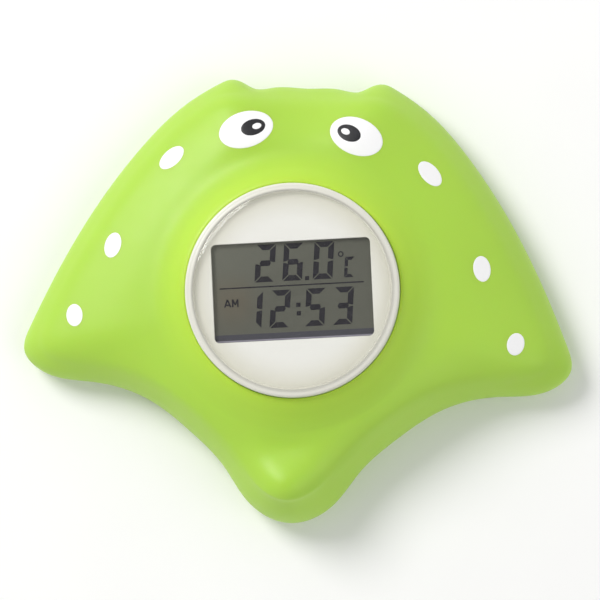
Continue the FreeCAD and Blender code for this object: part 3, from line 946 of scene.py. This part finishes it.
def display_rows(settings):
    """Every segment and stroke on the display: blank, place, turn and size of each."""
    width, height, stroke = settings.digit_width, settings.digit_height, settings.stroke
    lean = math.tan(settings.slant)
    rows = []

    def figure(character, across, foot_down, wide=width, high=height, thick=stroke):
        left, foot = window_place(across, foot_down)
        rows.extend(figure_segments(character, left - foot * lean, foot, wide, high, thick))

    def dot(across, down, side=1.0 * MM):
        x, y = window_place(across, down)
        rows.append(("stroke", (x - y * lean, y, 0.0), 0.0, (side, side, 1.0)))

    def line(start, end, wide):
        ends = [window_place(*start), window_place(*end)]
        rows.append(("stroke", *stroke_row(*[(x - y * lean, y) for x, y in ends], wide * MM)))

    def number(groups, start, foot_down, room):
        before, after = groups
        for index, character in enumerate(before + after):
            extra = room if index >= len(before) else 0.0
            figure(character, start + FIGURE_PITCH * index + extra, foot_down)

    number(settings.reading.split("."), READING_START, READING_FOOT, POINT_ROOM)
    dot(22.1, 8.8, 0.95 * MM)
    figure("C", 30.7, 9.1, 2.3 * MM, 4.8 * MM, 0.75 * MM)
    number(settings.clock.split(":"), CLOCK_START, CLOCK_FOOT, COLON_ROOM)
    dot(19.8, 14.9)
    dot(19.8, 16.9)
    line((1.6, 10.3), (35.3, 10.3), 0.30)
    top, foot, bar = 12.9, 14.7, 14.2
    for start, end in (
            ((2.6, foot), (3.3, top)), ((4.0, foot), (3.3, top)), ((2.9, bar), (3.7, bar)),
            ((4.5, foot), (4.5, top)), ((4.5, top), (5.1, bar)), ((5.1, bar), (5.7, top)),
            ((5.7, top), (5.7, foot))):
        line(start, end, 0.36)
    return rows


def display_ink(settings):
    """Driven liquid crystal, dark with a faint violet cast."""
    finish = Finish("display_segments")
    tone = finish.blend(finish.noise(420.0, 2.0).ramp(0.3, 0.8) * 0.4, colour(settings.ink),
                        shade(settings.ink, 1.9))
    return finish.solid(
        Base_Color=tone, Roughness=0.25 + 0.05 * finish.noise(250.0), Specular_IOR_Level=0.3)


def display_film(settings):
    """Grey-green polarising film over the reflector, with the darker contact strip along one side."""
    finish = Finish("polarising_film")
    x, y, _ = finish.in_display()
    low = -WINDOW_DEPTH / 2
    clouds = finish.noise(70.0, 2.0)
    lit_corner = (x * -1.0 + y * 1.4).ramp(-2.0 * MM, 34.0 * MM)
    tone = finish.blend(lit_corner * 0.55, colour(settings.film), shade(settings.film, 1.55))
    warm = (0.17, 0.115, 0.065, 1.0)
    stain = (1.0 - (finish.vector(x + 15.0 * MM, y + 2.0 * MM).length()).ramp(0.0, 9.0 * MM)) * clouds
    tone = finish.blend(stain * 0.55, tone, warm)
    strip = 1.0 - (y - low).ramp(1.75 * MM, 1.95 * MM)
    tone = finish.blend(strip * 0.9, tone, (0.060, 0.060, 0.085, 1.0))
    gleam = (y - low).ramp(0.10 * MM, 0.25 * MM) * (1.0 - (y - low).ramp(0.40 * MM, 0.55 * MM))
    tone = finish.blend(gleam * 0.7, tone, (0.42, 0.40, 0.50, 1.0))
    rough = 0.20 + 0.08 * finish.noise(500.0)
    return finish.solid(
        Base_Color=tone, Roughness=rough, Normal=finish.bump(finish.noise(1500.0), 0.005 * MM, 0.2))


class THERMOMETER_OT_display(bpy.types.Operator):
    """Sets out the display's figures and finishes its film"""
    bl_idname = "thermometer.display"
    bl_label = "Display"

    def execute(self, context):
        settings = context.scene.thermometer_display
        rows = display_rows(settings)
        recipe = FigureRecipe()
        ink = display_ink(settings)
        pieces = []
        for name, corners in segment_blanks(settings).items():
            blank = prism(name, corners, 0.0, INK_DEPTH)
            places = points_object("figure_places", [row[1:] for row in rows if row[0] == name])
            pieces.append(recipe.cook("figures", {
                "Places": places, "Segment": blank, "Slant": settings.slant, "Ink": ink}))
            drop(places, blank)
        outer, inner = DEGREE_RADIUS * MM, (DEGREE_RADIUS - DEGREE_STROKE) * MM
        ring = [(inner, 0.0), (outer, 0.0), (outer, INK_DEPTH), (inner, INK_DEPTH)]
        pieces.append(lathe("degree_sign", ring, 32, window_place(*DEGREE_PLACE)))
        figures = merged("display_figures", pieces, ink)
        figures.data.transform(Matrix.Translation((0.0, 0.0, FILM_TOP + 0.01 * MM)))
        figures.data.transform(IN_MODULE)
        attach(figures, "module")
        recast("lcd_front_polariser", display_film(settings))
        return {"FINISHED"}


# ---- the module's case ----

# the lens, in millimetres from the module's axis and above the ground
LENS_TOP = 28.5
LENS_RIM = 27.9              # level of the rim, below the raised flat
LENS_RADIUS = 25.0
LENS_FLAT = 20.0             # radius of the plane part of the raised flat
SKIRT_MIDDLE = 20.0
LENS_FOOT = 14.8             # bottom of the skirt
LENS_BORE = 23.4             # inside of the skirt
LENS_SHOULDER = 26.4         # where the bore ends under the flat
LENS_TAPER = 0.3             # how far the bore draws in from there up to the plate
LENS_OVER_PLATE = 0.03
STEP_RADIUS = 23.45          # middle of the step from flat to rim
STEP_REACH = 0.45
EDGE_ROUND = 0.7


def arc(centre_radius, centre_level, size, start, end, steps=6):
    """Points of a rounding in a turned profile, angles in degrees."""
    turns = [math.radians(start + (end - start) * step / steps) for step in range(steps + 1)]
    return [(centre_radius + size * math.cos(turn), centre_level + size * math.sin(turn)) for turn in turns]


def lens_profile():
    """The lens: a flat raised by a soft step above a narrow rim, and a skirt down into the float."""
    under = PLATE_TOP / MM + LENS_OVER_PLATE
    half_step = (LENS_TOP - LENS_RIM) / 2
    turns = [math.radians(degrees) for degrees in range(0, 181, 20)]
    step = [(STEP_RADIUS - STEP_REACH * math.cos(turn), LENS_RIM + half_step * (1.0 + math.cos(turn)))
            for turn in turns]
    edge = arc(LENS_RADIUS - EDGE_ROUND, LENS_RIM - EDGE_ROUND, EDGE_ROUND, 90.0, 0.0)
    outside = [(0.0, LENS_TOP), (LENS_FLAT, LENS_TOP)] + step + edge
    outside += [(LENS_RADIUS, SKIRT_MIDDLE), (LENS_RADIUS, LENS_FOOT)]
    inside = [(LENS_BORE, LENS_FOOT), (LENS_BORE, LENS_SHOULDER), (LENS_BORE - LENS_TAPER, under),
              (0.0, under)]
    return [(radius * MM, level * MM) for radius, level in outside + inside]


PAINTED_WALL_LIGHT = (22.6 * MM, 23.9 * MM)        # distances from the axis over which painted light of the clear side wall, seen along its length, fades in
PAINTED_WALL_SHARE = 0.80                          # share of the rim given to that painted light
PLATE_SHADE = (15.5 * MM, 23.4 * MM)      # distances from the axis between which the plate darkens


def clear_plastic():
    """Clear moulded plastic. Over its side wall and rim a warm off-white is painted in: painted light
    standing for what the clear wall bends and mirrors, seen along its length.
    """
    finish = Finish("clear_lens")
    scuffs = finish.noise(600.0, 3.0)
    normal = finish.bump(scuffs, 0.002 * MM, 0.3)
    clear = finish.add("ShaderNodeBsdfTransparent", None, {"Color": (0.985, 0.985, 0.975, 1.0)})
    gloss = finish.add("ShaderNodeBsdfGlossy", None, {"Roughness": 0.05, "Normal": normal})
    polished = finish.add("ShaderNodeMixShader", None, (finish.glance(), clear, gloss))
    # painted light: warm off-white in place of the light that the clear side wall bends and mirrors
    wall_light_paint = finish.principled(Base_Color=(0.91, 0.90, 0.81, 1.0), Roughness=0.28, Normal=normal)
    share = finish.from_axis().ramp(*PAINTED_WALL_LIGHT) * PAINTED_WALL_SHARE + 0.02 * scuffs
    return finish.done(finish.add("ShaderNodeMixShader", None, (share, polished, wall_light_paint)))


def plate_plastic(settings):
    """White plate, warm grey near its rim where less light reaches it."""
    finish = Finish("white_plate")
    shaded = finish.from_axis().ramp(*PLATE_SHADE)
    tone = finish.blend(shaded, colour(settings.plate), (0.80, 0.79, 0.71, 1.0))
    tone = finish.blend(finish.noise(80.0, 2.0).ramp(0.3, 0.9) * 0.08, tone, (0.84, 0.83, 0.78, 1.0))
    normal = finish.bump(finish.noise(1400.0), 0.008 * MM, 0.25)
    return finish.solid(
        Base_Color=tone, Roughness=0.42 + 0.08 * finish.noise(200.0), Normal=normal)


def moulded(name, tone, rough=0.35, grain=1800.0, depth=0.01):
    """Moulded or machined stuff with fine grain, faint mottling and uneven gloss."""
    finish = Finish(name)
    mottle = finish.noise(grain * 0.06, 3.0).ramp(0.3, 0.8)
    tone = finish.blend(mottle * 0.25, colour(tone), shade(tone, 0.82))
    normal = finish.bump(finish.noise(grain), depth * MM, 0.35)
    return finish.solid(
        Base_Color=tone, Roughness=rough * 0.85 + rough * 0.3 * finish.noise(grain * 0.15), Normal=normal)


class THERMOMETER_OT_case(bpy.types.Operator):
    """Finishes the lens, the face plate, the back shell, its door and its buttons"""
    bl_idname = "thermometer.case"
    bl_label = "Module case"

    def execute(self, context):
        settings = context.scene.thermometer_case
        shell = moulded("white_shell", settings.shell, 0.30, 1200.0)
        lens = lathe("lens_cup", lens_profile(), 192, MODULE_AXIS)
        lens.data.shade_smooth()
        lens.data.set_sharp_from_angle(angle=math.radians(35.0))
        lens.data.materials.append(clear_plastic())
        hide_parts("front_lens")
        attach(lens, "module")
        recast("face_plate", plate_plastic(settings))
        recast("back_shell", shell)
        recast("battery_door", shell)
        button = moulded("button_rubber", settings.button, 0.55, 2600.0, 0.02)
        for node in ("set_button", "adjust_button"):
            recast(node, button)
        recast("sensor_cap", spun_steel())
        return {"FINISHED"}


# ---- inner pieces ----

def brushed(name, tone, scale=(4000.0, 60.0, 4000.0), rough=0.28):
    """Metal with fine lines along one direction."""
    finish = Finish(name)
    stretched = finish.add("ShaderNodeMapping", None, {"Vector": finish.place(), "Scale": scale})
    lines = finish.noise(1.0, 3.0, stretched)
    return finish.solid(
        Base_Color=finish.blend(lines * 0.4, colour(tone), shade(tone, 0.72)), Metallic=1.0,
        Roughness=rough + 0.15 * lines, Normal=finish.bump(lines, 0.004 * MM, 0.3))


def spun_steel():
    """Stainless steel turned about the sensor's own axis."""
    low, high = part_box("sensor_cap")
    middle = (low + high) / 2
    finish = Finish("spun_steel")
    x, y, _ = (finish.place() - (middle.x, middle.y, 0.0)).parts()
    rings = (finish.vector(x, y).length() * 42000.0).sin() * 0.5 + 0.5
    haze = finish.noise(700.0, 3.0)
    return finish.solid(
        Base_Color=finish.blend(haze * 0.5, (0.66, 0.66, 0.67, 1.0), (0.50, 0.50, 0.52, 1.0)), Metallic=1.0,
        Roughness=0.20 + 0.14 * rings, Normal=finish.bump(rings * 0.6 + haze * 0.4, 0.003 * MM, 0.4))


def board_mask():
    """Green solder mask with copper tracks showing through as lighter lines."""
    finish = Finish("solder_mask")
    place = finish.place()
    tracks = finish.add("ShaderNodeTexBrick", {"offset": 0.5}, {
        "Vector": place, "Scale": 900.0, "Mortar Size": 0.06, "Brick Width": 2.2, "Row Height": 0.9}, "Fac")
    tone = finish.blend(tracks * 0.6, (0.018, 0.13, 0.045, 1.0), (0.05, 0.26, 0.09, 1.0))
    return finish.solid(
        Base_Color=tone, Roughness=0.30 + 0.10 * finish.noise(400.0),
        Normal=finish.bump(tracks, 0.02 * MM, 0.5))


def display_glass():
    """Thin clear glass of the display."""
    finish = Finish("display_glass")
    clear = finish.add("ShaderNodeBsdfTransparent", None, {"Color": (0.93, 0.97, 0.94, 1.0)})
    gloss = finish.add("ShaderNodeBsdfGlossy", None, {
        "Roughness": 0.03, "Normal": finish.bump(finish.noise(300.0), 0.001 * MM, 0.2)})
    return finish.done(finish.add("ShaderNodeMixShader", None, (finish.glance(), clear, gloss)))


def layered_rubber():
    """Silicone connector of thin conducting and insulating layers."""
    finish = Finish("connector_layers")
    x, _, _ = finish.in_display()
    layers = (x * (math.tau / (0.18 * MM))).sin().ramp(-0.2, 0.2)
    tone = finish.blend(layers, (0.62, 0.46, 0.44, 1.0), (0.03, 0.03, 0.035, 1.0))
    return finish.solid(Base_Color=tone, Roughness=0.5 + 0.1 * finish.noise(900.0))


class THERMOMETER_OT_inner_pieces(bpy.types.Operator):
    """Finishes everything inside the module, and the water sensor"""
    bl_idname = "thermometer.inner_pieces"
    bl_label = "Inner pieces"

    def execute(self, context):
        glass = display_glass()
        rubber = moulded("black_silicone", (0.022, 0.022, 0.024), 0.50, 2200.0, 0.015)
        epoxy = moulded("black_epoxy", (0.014, 0.014, 0.016), 0.22, 700.0, 0.02)
        nickel = brushed("nickel_strip", (0.74, 0.71, 0.66))
        finishes = {
            "lcd_front_glass": glass, "lcd_rear_glass": glass,
            "lcd_reflector": brushed("mirror_film", (0.58, 0.60, 0.55), (300.0, 300.0, 300.0), 0.22),
            "zebra_strip": layered_rubber(),
            "lcd_backing_foam": moulded("grey_foam", (0.10, 0.10, 0.11), 0.85, 1600.0, 0.12),
            "circuit_board": board_mask(),
            "chip_blob": epoxy, "thermistor_bead": epoxy,
            "clock_crystal": brushed("crystal_can", (0.66, 0.67, 0.68)),
            "board_components": moulded("chip_ceramic", (0.30, 0.23, 0.16), 0.45, 2600.0),
            "board_screws": brushed("zinc_screw", (0.60, 0.61, 0.60), (900.0, 900.0, 900.0), 0.30),
            "coin_cell": brushed("cell_can", (0.70, 0.70, 0.69), (120.0, 2600.0, 2600.0), 0.24),
            "battery_contact_minus": nickel, "battery_contact_plus": nickel,
            "thermistor_leads": brushed("copper_wire", (0.72, 0.40, 0.19), (900.0, 900.0, 900.0), 0.30),
        }
        for node in ("case_seal", "door_seal", "set_button_pill", "adjust_button_pill", "button_seals",
                     "sensor_gasket"):
            finishes[node] = rubber
        for node, material in finishes.items():
            paint(node, material)
        return {"FINISHED"}


# ---- stage ----

FLOOR_HALF = 3.0             # metres
FLOOR_THICKNESS = 0.02
FLOOR_DROP = 0.0001          # keeps the floor clear of the float's underside


def aim(item, direction, roll=0.0):
    """Turns an object's -Z along a direction."""
    item.rotation_mode = "QUATERNION"
    item.rotation_quaternion = direction.to_track_quat("-Z", "Y")
    item.rotation_quaternion = item.rotation_quaternion @ Matrix.Rotation(roll, 3, "Z").to_quaternion()


def softbox(name, place, size, power, tint=(1.0, 1.0, 1.0)):
    light = bpy.data.lights.new(name, "AREA")
    light.shape = "DISK"
    light.size = size
    light.energy = power
    light.color = tint
    lamp = new_object(name, light)
    lamp.location = place
    aim(lamp, -Vector(place))


def floor_paper():
    """Very pale, slightly uneven paper."""
    finish = Finish("floor_paper")
    clouds = finish.noise(30.0, 2.0).ramp(0.2, 0.9)
    tone = finish.blend(clouds, (0.97, 0.97, 0.97, 1.0), (0.95, 0.95, 0.95, 1.0))
    return finish.solid(Base_Color=tone, Roughness=0.9, Specular_IOR_Level=0.0)


def studio_walls(settings):
    """Even light from the walls of a studio, with a darker ceiling that the lens and film mirror."""
    world = bpy.data.worlds.new("studio_walls")
    world.use_nodes = True
    world.node_tree.nodes.clear()
    walls = Sheet(world.node_tree)
    _, _, height = walls.add("ShaderNodeTexCoord", None, (), "Generated").parts()
    strength = settings.sky * (1.0 - 0.80 * height.ramp(0.70, 0.97))
    light = walls.add("ShaderNodeBackground", None, {"Color": (1.0, 1.0, 1.0, 1.0), "Strength": strength})
    walls.add("ShaderNodeOutputWorld", None, {"Surface": light})
    return world


class THERMOMETER_OT_stage(bpy.types.Operator):
    """Sets up the camera, the lights and the floor"""
    bl_idname = "thermometer.stage"
    bl_label = "Stage"

    def execute(self, context):
        settings = context.scene.thermometer_stage
        azimuth, elevation = settings.azimuth, settings.elevation
        back = Vector((math.sin(azimuth) * math.cos(elevation), -math.cos(azimuth) * math.cos(elevation),
                       math.sin(elevation)))
        camera = new_object("camera", bpy.data.cameras.new("camera"))
        camera.location = back * settings.distance
        aim(camera, -back, settings.roll)
        camera.data.lens = settings.lens
        camera.data.sensor_width = 36.0
        camera.data.shift_x, camera.data.shift_y = -0.001, 0.006
        camera.data.clip_start, camera.data.clip_end = 0.01, 20.0
        context.scene.camera = camera
        corners = [(x * FLOOR_HALF, y * FLOOR_HALF) for x, y in ((-1, -1), (1, -1), (1, 1), (-1, 1))]
        floor = prism("floor", corners, -FLOOR_THICKNESS, -FLOOR_DROP)
        floor.data.materials.append(floor_paper())
        softbox("key_light", (-0.55, 0.45, 0.75), 0.5, settings.key, (1.0, 0.99, 0.97))
        softbox("fill_light", (0.7, -0.3, 0.9), 0.9, settings.key * 0.3)
        context.scene.world = studio_walls(settings)
        context.scene.view_settings.view_transform = "Standard"
        return {"FINISHED"}


# ---- panel, registration and the run ----

GROUPS = {
    "thermometer_float": FloatSettings, "thermometer_marks": MarkSettings,
    "thermometer_display": DisplaySettings, "thermometer_case": CaseSettings,
    "thermometer_stage": StageSettings,
}
STEPS = [
    THERMOMETER_OT_soft_float, THERMOMETER_OT_printed_marks, THERMOMETER_OT_display, THERMOMETER_OT_case,
    THERMOMETER_OT_inner_pieces, THERMOMETER_OT_stage,
]


class THERMOMETER_PT_panel(bpy.types.Panel):
    """Lists every step that builds the thermometer"""
    bl_idname = "THERMOMETER_PT_panel"
    bl_label = "Bath Thermometer"
    bl_space_type = "VIEW_3D"
    bl_region_type = "UI"
    bl_category = "Bath Thermometer"

    def draw(self, context):
        for group in GROUPS:
            box = self.layout.box()
            settings = getattr(context.scene, group)
            for name in settings.__annotations__:
                box.prop(settings, name)
        for step in STEPS:
            self.layout.operator(step.bl_idname)


def register():
    for group, settings in GROUPS.items():
        bpy.utils.register_class(settings)
        setattr(bpy.types.Scene, group, PointerProperty(type=settings))
    for item in (*STEPS, THERMOMETER_PT_panel):
        bpy.utils.register_class(item)


def unregister():
    for item in (THERMOMETER_PT_panel, *reversed(STEPS)):
        bpy.utils.unregister_class(item)
    for group, settings in GROUPS.items():
        delattr(bpy.types.Scene, group)
        bpy.utils.unregister_class(settings)


def main():
    register()
    bpy.ops.thermometer.soft_float()
    bpy.ops.thermometer.printed_marks()
    bpy.ops.thermometer.display()
    bpy.ops.thermometer.case()
    bpy.ops.thermometer.inner_pieces()
    bpy.ops.thermometer.stage()


if __name__ == "__main__":
    main()
